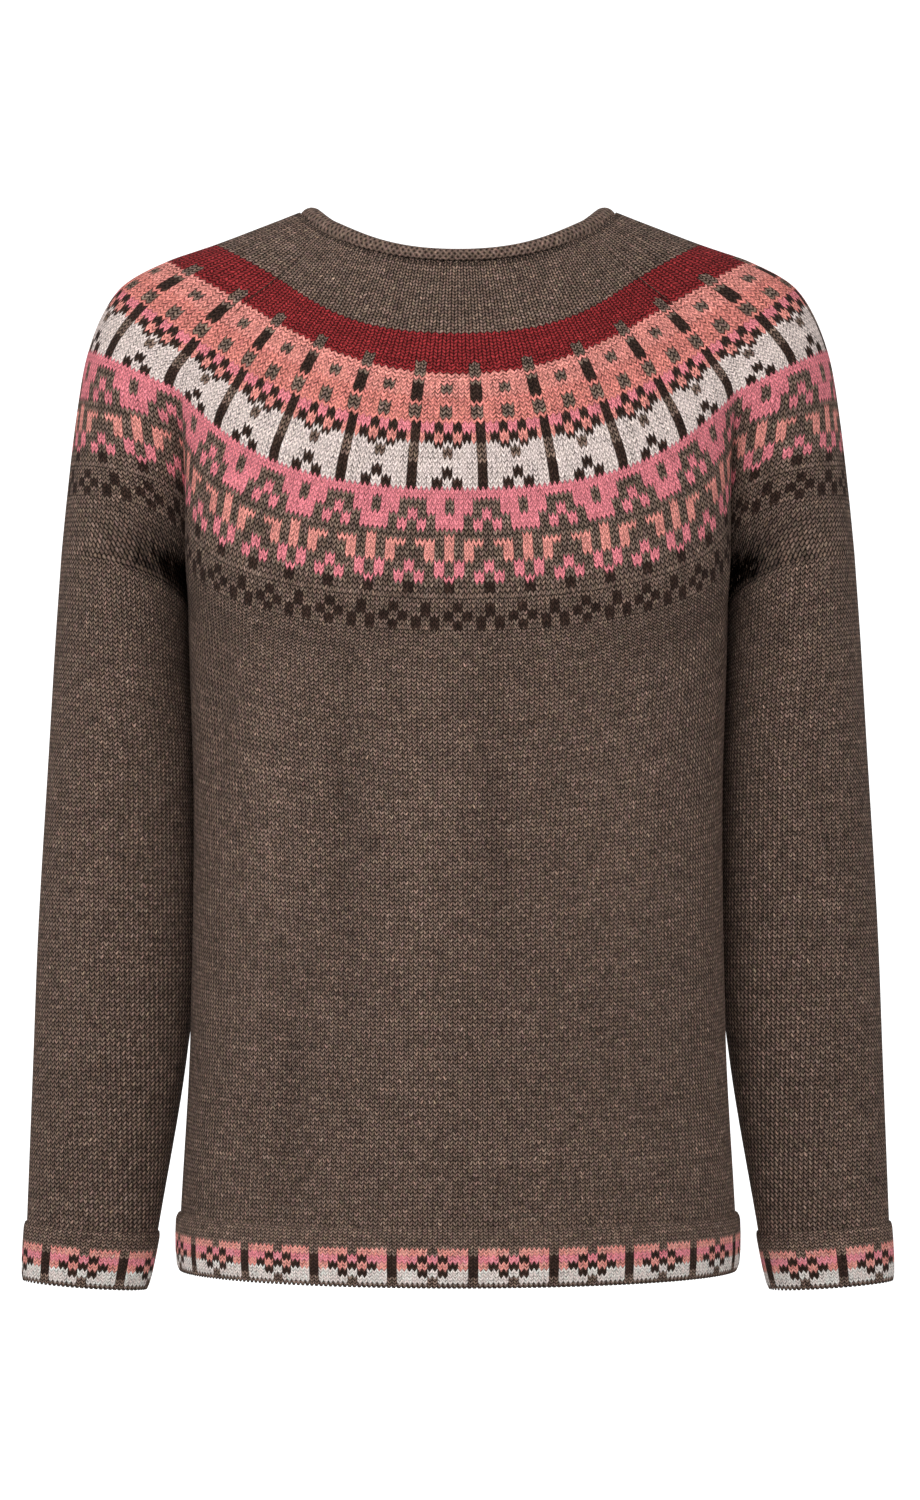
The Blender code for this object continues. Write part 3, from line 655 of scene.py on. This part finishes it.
# The tube: innermost point, outermost point, and depth behind and before the line through them.
TUBE_COLUMNS = ("inner_x", "inner_y", "inner_z", "outer_x", "outer_y", "outer_z", "back", "front")
TUBE = {
    "upper arm": (160.5, 22, -273, 243, 22, -254, 56, 55),
    "elbow":     (158, 30, -325, 247, 27, -314, 51, 50),
    "forearm":   (157.5, 37, -438, 255, 37, -435, 42, 43),
    "lower arm": (164.5, 41, -505, 258, 42, -502, 37, 38),
    "wrist":     (182.5, 46, -612, 262.5, 48, -606, 28, 29),
}
ARMHOLE_DEPTH = 57.0              # of the sleeve at its first round, behind and before
ARMHOLE_TURN = 10.0               # slant of that round where it leaves the body: degrees inwards,
ARMHOLE_RISE = 0.42               # and upwards
ARMHOLE_FADE = 40.0               # how soon the slant dies out down the sleeve
ROUND_REACH = 4.0 / 3.0           # length of handle that makes a Bezier arc half an ellipse

CAP_COURSE = named_columns(CAP_COLUMNS, CAP.values())
SECTION = named_columns(TUBE_COLUMNS, TUBE.values())
OUTER_LINE = [np.append(CAP_COURSE[name][-1], SECTION[name]) for name in ("outer_x", "outer_y", "outer_z")]
TUBE_PLACES = UNDERARM + np.cumsum(np.linalg.norm(np.diff(OUTER_LINE, axis=1), axis=0))
WRIST = TUBE_PLACES[-1]


def cap_arcs(places, side):
    """Half courses of the sleeve at +X above the armhole, from the seam to the outer side."""
    cap = {name: smooth(PLACES[:len(CAP)], values, places) for name, values in CAP_COURSE.items()}
    seam = seam_points(course_at(places), side)
    outer = points_of(cap["outer_x"], cap["outer_y"], cap["outer_z"])
    first = seam + cap["tuck"][:, None] * heading(cap["turn"], cap["rise"], side)
    second = outer + points_of(0.0, side * cap["reach"], 0.0)
    return arcs(seam, first, second, outer)


def tube_arcs(places, side):
    """Half courses of the sleeve at +X below the armhole: half ellipses whose slant at the inner line
    fades with exp(-distance / ARMHOLE_FADE)."""
    last = {name: values[0] for name, values in course_at(np.array([UNDERARM])).items()}
    start = {
        "inner_x": last["seam_x"], "inner_y": last["seam_y"], "inner_z": last["seam_z"],
        "outer_x": CAP_COURSE["outer_x"][-1], "outer_y": CAP_COURSE["outer_y"][-1],
        "outer_z": CAP_COURSE["outer_z"][-1], "back": ARMHOLE_DEPTH, "front": ARMHOLE_DEPTH,
    }
    knots = np.append(UNDERARM, TUBE_PLACES)
    at = {name: smooth(knots, np.append(start[name], SECTION[name]), places) for name in TUBE_COLUMNS}
    fade = np.exp(-(places - UNDERARM) / ARMHOLE_FADE)
    inner = points_of(at["inner_x"], at["inner_y"], at["inner_z"])
    outer = points_of(at["outer_x"], at["outer_y"], at["outer_z"])
    depth = (at["back"] if side < 0 else at["front"])[:, None]
    slant = heading(-90.0 + ARMHOLE_TURN * fade, ARMHOLE_RISE * fade, side)
    first = inner + ROUND_REACH * depth * slant
    second = outer + ROUND_REACH * depth * np.array((0.0, float(side), 0.0))
    return arcs(inner, first, second, outer)


CUFF_TUCK = 2.0                   # how far the sleeve goes on behind the cuff's top
TUBE_STEPS = 230                  # rows of the form from the underarm to the end
SLEEVE_COLUMNS = 161
SLEEVE_LINING_COLUMNS = 31
SLEEVE_PITCH = 3.0                # width of a stitch of the sleeve
SLEEVE_ROW = 2.64                 # height of a row of the sleeve

sleeve_end = WRIST + CUFF_TUCK
tube_places = np.linspace(UNDERARM, sleeve_end, TUBE_STEPS)[1:]


def sleeve_form():
    """The form of the sleeve at +X, from the back seam over the arm to the front seam, with the share
    of each course that lies behind the outer line."""
    halves = [np.concatenate((cap_arcs(yoke_places, side), tube_arcs(tube_places, side))) for side in (-1, 1)]
    back_half, front_half = halves
    lines = np.concatenate((back_half, front_half[:, -2::-1]), axis=1)
    behind = np.linalg.norm(np.diff(back_half, axis=1), axis=2).sum(axis=1)
    grid, length = evened(lines, SLEEVE_COLUMNS)
    form = form_of(np.append(yoke_places, tube_places), grid, length, closed=len(yoke_places))
    form["behind"] = behind / length
    return form


right_form = sleeve_form()


def behind_edge(line):
    """Stitches from the sleeve's outer line back to its inner line, as a negative number."""
    length = np.interp(line, right_form["places"], right_form["length"])
    return -np.interp(line, right_form["places"], right_form["behind"]) * length / SLEEVE_PITCH


def before_edge(line):
    """Stitches from the sleeve's outer line forward to its inner line."""
    length = np.interp(line, right_form["places"], right_form["length"])
    return length / SLEEVE_PITCH + behind_edge(line)


def other_side(part):
    """The same cloth at the other side of the body: mirrored, with the corners' order turned round."""
    points, faces, stitches, colours = part
    turned = stitches[:, ::-1] * np.array((-1.0, 1.0))
    return [points * MIRROR, faces[:, ::-1], turned, colours[:, ::-1]]


sleeve_rows = int(round((sleeve_end - PLACE["border"]) / SLEEVE_ROW))
sleeve_band = (PLACE["border"], sleeve_end, behind_edge, before_edge, 0.0, ["A"] * sleeve_rows)
for name, node, first_repeat, seed, mirrored in (("knit_sleeve_right", "sleeve_right", 9.0, 13, False),
                                                 ("knit_sleeve_left", "sleeve_left", 22.5, 14, True)):
    bands = yoke_bands(first_repeat, first_repeat + 4.5)
    if mirrored:
        # The left sleeve is worked on the right form, so its repeats run the other way round.
        bands = [(top, bottom, -right, -left, pinch, [row[::-1] for row in chart])
                 for top, bottom, left, right, pinch, chart in bands]
    outer = knitted(right_form, bands + [sleeve_band], np.random.default_rng(seed))
    inner = lining_side(right_form, lining_places(sleeve_end), SLEEVE_LINING_COLUMNS, SLEEVE_PITCH)
    if mirrored:
        outer, inner = other_side(outer), other_side(inner)
    sleeve = cloth_object(name, outer, inner, (right_side_wool, wrong_side_wool))
    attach(sleeve, "root")
    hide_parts(node)

# ---------------------------------------------------------------------------------------------------
# Neck roll. A few rounds of stocking stitch that are cast off loosely, so that the edge curls outwards
# by itself and shows the stitch's wrong side.

ROLL_RADIUS_MIDDLE = 3.95         # the curl is thin at the middle of the back and of the front,
ROLL_RADIUS_SIDE = 7.4            # and thick over the shoulders
ROLL_WALL = 1.8                   # thickness of the curled cloth
ROLL_START = 236.0                # degrees round the curl: from below,
ROLL_END = -76.0                  # over the top and down the outside, back to the cloth
ROLL_CLOTH = 12.0                 # length of cloth below the neck that gives the curl its upright
ROLL_RISE_MIDDLE = 3.65           # how far the curl's middle stands above the neck course
ROLL_RISE_SIDE = 5.1              # the same over the shoulders
ROLL_SINK_SIDE = 6.8              # how far it lies inside the cloth's line over the shoulders
ROLL_STITCHES = 168
ROLL_ROWS = 10
ROLL_LIGHT = (0.72, 0.72, 0.73, 1.0)     # the roll's colour is darkened to these shares


def whole_course(place, sleeves=True):
    """A course all the way round, from the middle of the back by +X to the front and back by -X."""
    places = np.array([place])
    back_line = panel_lines(places, -1)[0]
    front_line = panel_lines(places, 1)[0]
    middle = len(back_line) // 2
    right_back = [back_line[middle:]]
    if sleeves:
        right_back += [cap_arcs(places, -1)[0][1:], cap_arcs(places, 1)[0][-2:0:-1]]
    right_back.append(front_line[:middle + 1])
    half = np.concatenate(right_back)
    other = half[-2:0:-1] * MIRROR
    return np.concatenate((half, other))


def evened_ring(line, count):
    """A closed line resampled at even steps of its length."""
    loop = np.concatenate((line, line[:1]))
    return evened(loop[None], count + 1)[0][0, :-1]


def along_ring(points):
    """Unit tangents of a closed line."""
    return unit(np.roll(points, -1, axis=0) - np.roll(points, 1, axis=0))


def ring_part(sections, stitch_u, stitch_v, colours_of):
    """A closed ring of sections (around, along, 3) as points, faces, stitch coordinates and colours.
    The faces run on from the last section to the first, and from the last point of a section to its
    first where it is a loop."""
    count, size = sections.shape[:2]
    index = np.arange(count * size).reshape(count, size)
    following = np.roll(index, -1, axis=0)
    nxt = np.roll(index, -1, axis=1)
    corners = np.stack((index, nxt, np.roll(nxt, -1, axis=0), following), axis=-1).reshape(-1, 4)
    u0, v0 = np.meshgrid(stitch_u[:-1], stitch_v[:-1], indexing="ij")
    u1, v1 = np.meshgrid(stitch_u[1:], stitch_v[1:], indexing="ij")
    uv = np.stack((np.stack((u0, u0, u1, u1), axis=-1), np.stack((v0, v1, v1, v0), axis=-1)), axis=-1)
    colour = colours_of((u0 + u1) / 2, (v0 + v1) / 2)
    return [sections.reshape(-1, 3), corners, uv.reshape(-1, 4, 2),
            np.repeat(colour.reshape(-1, 1, 4), 4, axis=1)]


def nothing():
    """An empty inner part, for a piece that is one closed surface."""
    return [np.zeros((0, 3)), np.zeros((0, 4), dtype=int), np.zeros((0, 4, 2)), np.zeros((0, 4, 4))]


roll_columns = 2 * ROLL_STITCHES
edge = evened_ring(whole_course(0.0), roll_columns)
below = evened_ring(whole_course(ROLL_CLOTH), roll_columns)
tangent = along_ring(edge)
up = edge - below
up = unit(up - tangent * np.sum(up * tangent, axis=1)[:, None])
out = np.cross(tangent, up)
# 0 at the middle of the back and of the front, 1 over the shoulders.
beside = np.abs(edge[:, 0]) / np.max(np.abs(edge[:, 0]))
rise = ROLL_RISE_MIDDLE + (ROLL_RISE_SIDE - ROLL_RISE_MIDDLE) * beside**2
middle = edge + up * rise[:, None] - out * (ROLL_SINK_SIDE * beside**4)[:, None]
turns = np.radians(np.linspace(ROLL_START, ROLL_END, 2 * ROLL_ROWS + 1))
thin = np.repeat((0.0, ROLL_WALL), len(turns))
turns = np.append(turns, turns[::-1])
radius = (ROLL_RADIUS_MIDDLE + (ROLL_RADIUS_SIDE - ROLL_RADIUS_MIDDLE) * beside**2.5)[:, None] - thin
sections = (middle[:, None] + out[:, None] * (radius * np.cos(turns))[..., None]
            + up[:, None] * (radius * np.sin(turns))[..., None])
roll_rows = np.linspace(0, ROLL_ROWS, 2 * ROLL_ROWS + 1)
roll_v = np.concatenate((roll_rows, roll_rows[::-1] + 2 * ROLL_ROWS, [2 * ROLL_ROWS]))
roll_dice = np.random.default_rng(15)


def roll_colour(u, v):
    """Brown melange, uneven from stitch to stitch, and darkened as a whole."""
    return spun(np.full(u.shape, LETTERS.index("A")), roll_dice) * np.array(ROLL_LIGHT)


roll_part = ring_part(sections, np.arange(roll_columns + 1) / 2, roll_v, roll_colour)
neck_roll = cloth_object("knit_neck_roll", roll_part, nothing(), (wrong_side_wool,))
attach(neck_roll, "root")
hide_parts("neck_roll")

# ---------------------------------------------------------------------------------------------------
# Hem and cuffs. Turned bands of double cloth with a small checked border, knitted on to the body and
# the sleeves and folded to the inside along their lower edge.

HEM_HEIGHT = 34.5
HEM_REPEATS = 19
CUFF_HEIGHT = 36.5
CUFF_REPEATS = 4.5
CUFF_DOWN = np.array((0.13, 0.055, -0.99))      # the way the right cuff hangs
CUFF_TAPER = 0.065                # how much narrower a cuff is at its edge than at its top
CUFF_PROUD = 0.6                  # how far its section stands out beside the hem's
SEAM_GAP = 0.3                    # between a band and the cloth it hangs from
# The bands' section: outwards, and down as a share of the height.
BAND_PROFILE = (
    (-0.2, 0.0), (2.0, 0.02), (3.0, 0.10), (3.3, 0.35), (3.2, 0.65), (2.4, 0.90), (0.9, 1.0),
    (-0.4, 0.99), (-1.1, 0.90), (-1.3, 0.50), (-1.3, 0.10), (-1.1, 0.0),
)
BAND_CHART = (["AAAAAAAAAAAAAAAA"] * 7 + ["AASSSSSSAASSSSSS"] * 2 + ["KKCCCCKKCCKKCCCC"] * 2
              + ["KKSSKKSSKKSSKKSS"] * 2 + ["KKWWWWKKWWKKWWWW"] * 2 + ["AAWWWWWWAAWWWWWW"] * 2
              + ["AAAAAAAAAAAAAAAA"])
BAND_STITCHES = len(BAND_CHART[0])
BAND_LIGHT = (1.1, 1.1, 1.1, 1.3)        # the doubled cloth is lighter, mostly in its hollows
BAND_FIRST_ROW = 100              # the bands' rows are numbered on from here, so that none is a close row
OUTER_POINTS = 7                  # how many of the section's points are on the outside
FOLD_ROWS = 14                    # rows on the inside


def band_profile():
    """The band's section by rows: even steps of length down the outside, then up the inside."""
    profile = np.array(BAND_PROFILE + BAND_PROFILE[:1])
    rows = []
    for part, count in ((profile[:OUTER_POINTS], len(BAND_CHART)), (profile[OUTER_POINTS - 1:], FOLD_ROWS)):
        run = np.append(0.0, np.cumsum(np.hypot(np.diff(part[:, 0]), HEM_HEIGHT * np.diff(part[:, 1]))))
        even = np.linspace(0.0, run[-1], count + 1)
        rows.append(np.column_stack([np.interp(even, run, part[:, axis]) for axis in (0, 1)])[:-1])
    return np.concatenate(rows)


def band_piece(name, course, repeats, shift, down, height, seed, taper=0.0, proud=1.0):
    """A turned band hung from a course. Its points go outwards, times proud, and down from the course
    by the section, and towards the ring's centre by the taper; each row climbs from the middle of a
    stitch to its sides. The chart is set back along the ring by the shift, in stitches."""
    stitches = int(repeats * BAND_STITCHES)
    course = evened_ring(course, 2 * stitches)
    down = np.asarray(down) / np.linalg.norm(down)
    centre = course.mean(axis=0)
    away = unit(np.cross(along_ring(course), -down))
    radial = course - centre
    radial = radial - down * (radial @ down)[:, None]
    profile = band_profile()
    climb = (np.arange(2 * stitches) % 2 == 0)[:, None] * 1.0
    # A row climbs as far as the row above it, and the first row by half a step.
    before = np.roll(profile, 1, axis=0)
    before[0] = 1.5 * profile[0] - 0.5 * profile[1]
    x = profile[None, :, 0] + (before - profile)[None, :, 0] * climb * LEG_RISE - WALE_DIP[1] * climb
    y = profile[None, :, 1] + (before - profile)[None, :, 1] * climb * LEG_RISE
    sections = (course[:, None] + away[:, None] * (x * proud)[..., None]
                + down * (SEAM_GAP + height * y)[..., None]
                - radial[:, None] * (taper * y)[..., None])
    dice = np.random.default_rng(seed)

    def colours(u, v):
        """The chart on the outside, and its last row all over the inside."""
        row = np.minimum(np.floor(v).astype(int), len(BAND_CHART) - 1)
        yarn = yarn_numbers(BAND_CHART)[row, np.floor(u + shift).astype(int) % BAND_STITCHES]
        return np.minimum(spun(yarn.T, dice).transpose(1, 0, 2) * np.array(BAND_LIGHT), 1.0)

    part = ring_part(sections, np.arange(2 * stitches + 1) / 2, np.arange(len(profile) + 1), colours)
    part[2] = part[2] + np.array((0, BAND_FIRST_ROW))
    return cloth_object(name, part, nothing(), (right_side_wool,))


hem = band_piece("knit_hem_band", whole_course(PLACE["hem"], sleeves=False), HEM_REPEATS, -2,
                 (0, 0, -1), HEM_HEIGHT, 16)
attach(hem, "root")
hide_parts("hem_band")

wrist_back = tube_arcs(np.array([WRIST]), -1)[0]
wrist_front = tube_arcs(np.array([WRIST]), 1)[0]
wrist = np.concatenate((wrist_back, wrist_front[-2:0:-1]))
for name, node, course, shift, down, sleeve_node, seed in (
        ("knit_cuff_right", "cuff_right", wrist, -3, CUFF_DOWN, "sleeve_right", 17),
        ("knit_cuff_left", "cuff_left", wrist[::-1] * MIRROR, 4, CUFF_DOWN * MIRROR, "sleeve_left", 18)):
    cuff = band_piece(name, course, CUFF_REPEATS, shift, down, CUFF_HEIGHT, seed, CUFF_TAPER, CUFF_PROUD)
    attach(cuff, "root")
    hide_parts(node)

# ---------------------------------------------------------------------------------------------------
# Studio. A white sweep of paper, soft even light from all round, two soft lamps before the back, one of
# them well to the left, and a level camera square to the back. Sizes here are metres.

FLOOR_Z = -0.80
SWEEP_FRONT = -8.0
SWEEP_Y = 3.0                     # where the floor turns up
SWEEP_RADIUS = 1.2
SWEEP_TOP = 5.0
SWEEP_SIDES = (-7.0, 7.0)

sweep_turn = np.linspace(0.0, np.pi / 2, 17)
sweep_y = SWEEP_Y + SWEEP_RADIUS * np.concatenate((np.sin(sweep_turn), [1.0]))
sweep_y = np.append(SWEEP_FRONT, sweep_y)
sweep_z = np.concatenate(([FLOOR_Z], FLOOR_Z + SWEEP_RADIUS * (1 - np.cos(sweep_turn)), [SWEEP_TOP]))
sweep_points = np.concatenate([points_of(x, sweep_y, sweep_z) for x in SWEEP_SIDES])
steps = np.arange(len(sweep_y) - 1)
sweep_faces = np.column_stack((steps, steps + len(sweep_y), steps + len(sweep_y) + 1, steps + 1))
sweep_mesh = bpy.data.meshes.new("sweep")
sweep_mesh.from_pydata(sweep_points, [], sweep_faces)
sweep_mesh.shade_smooth()
sweep = bpy.data.objects.new("sweep", sweep_mesh)
bpy.context.scene.collection.objects.link(sweep)
paper = bpy.data.materials.new("white_paper")
paper.use_nodes = True
paper_shader = paper.node_tree.nodes["Principled BSDF"]
paper_shader.inputs["Base Color"].default_value = (0.8, 0.8, 0.8, 1.0)
paper_shader.inputs["Roughness"].default_value = 0.9
paper_shader.inputs["Emission Color"].default_value = (1.0, 1.0, 1.0, 1.0)
paper_shader.inputs["Emission Strength"].default_value = 0.75
sweep_mesh.materials.append(paper)
sweep.visible_diffuse = False
sweep.visible_glossy = False

# The room's own light: brighter from above than from below, and plain white where it is seen.
LIGHT_BELOW = 0.57
LIGHT_ABOVE = 0.73
world = bpy.data.worlds.new("studio")
world.use_nodes = True
room = world.node_tree
direction = room.nodes.new("ShaderNodeTexCoord")
height_part = room.nodes.new("ShaderNodeSeparateXYZ")
room.links.new(direction.outputs["Generated"], height_part.inputs[0])
ramp = room.nodes.new("ShaderNodeMapRange")
ramp.inputs["From Min"].default_value = -1.0
ramp.inputs["To Min"].default_value = LIGHT_BELOW
ramp.inputs["To Max"].default_value = LIGHT_ABOVE
room.links.new(height_part.outputs["Z"], ramp.inputs["Value"])
ray = room.nodes.new("ShaderNodeLightPath")
seen = sum_of(room, "MAXIMUM", ramp.outputs[0], ray.outputs["Is Camera Ray"])
room.links.new(seen, room.nodes["Background"].inputs["Strength"])
room.nodes["Background"].inputs["Color"].default_value = (1.0, 1.0, 1.0, 1.0)
bpy.context.scene.world = world


def soft_lamp(name, place, target, size, power):
    """A square area lamp turned towards a point."""
    lamp = bpy.data.lights.new(name, "AREA")
    lamp.shape = "SQUARE"
    lamp.size = size
    lamp.energy = power
    thing = bpy.data.objects.new(name, lamp)
    thing.location = place
    thing.rotation_euler = (Vector(target) - Vector(place)).to_track_quat("-Z", "Y").to_euler()
    bpy.context.scene.collection.objects.link(thing)


soft_lamp("key_lamp", (-0.8, -1.2, 0.3), (0.0, 0.0, -0.2), 0.9, 4.2)
soft_lamp("front_lamp", (-0.2, -1.3, 0.15), (0.0, 0.0, -0.3), 0.9, 6.9)

CAMERA_DISTANCE = 3.2
CAMERA_X = 0.0012
CAMERA_Z = -0.320                 # level with the middle of the sweater
VIEW_HEIGHT = 0.9                 # how much it takes in there
SENSOR = 24.0
camera_data = bpy.data.cameras.new("camera")
camera_data.sensor_fit = "VERTICAL"
camera_data.sensor_height = SENSOR
camera_data.lens = SENSOR * CAMERA_DISTANCE / VIEW_HEIGHT
camera = bpy.data.objects.new("camera", camera_data)
camera.location = (CAMERA_X, -CAMERA_DISTANCE, CAMERA_Z)
camera.rotation_euler = (np.pi / 2, 0.0, 0.0)
bpy.context.scene.collection.objects.link(camera)
bpy.context.scene.camera = camera
bpy.context.scene.view_settings.view_transform = "Standard"
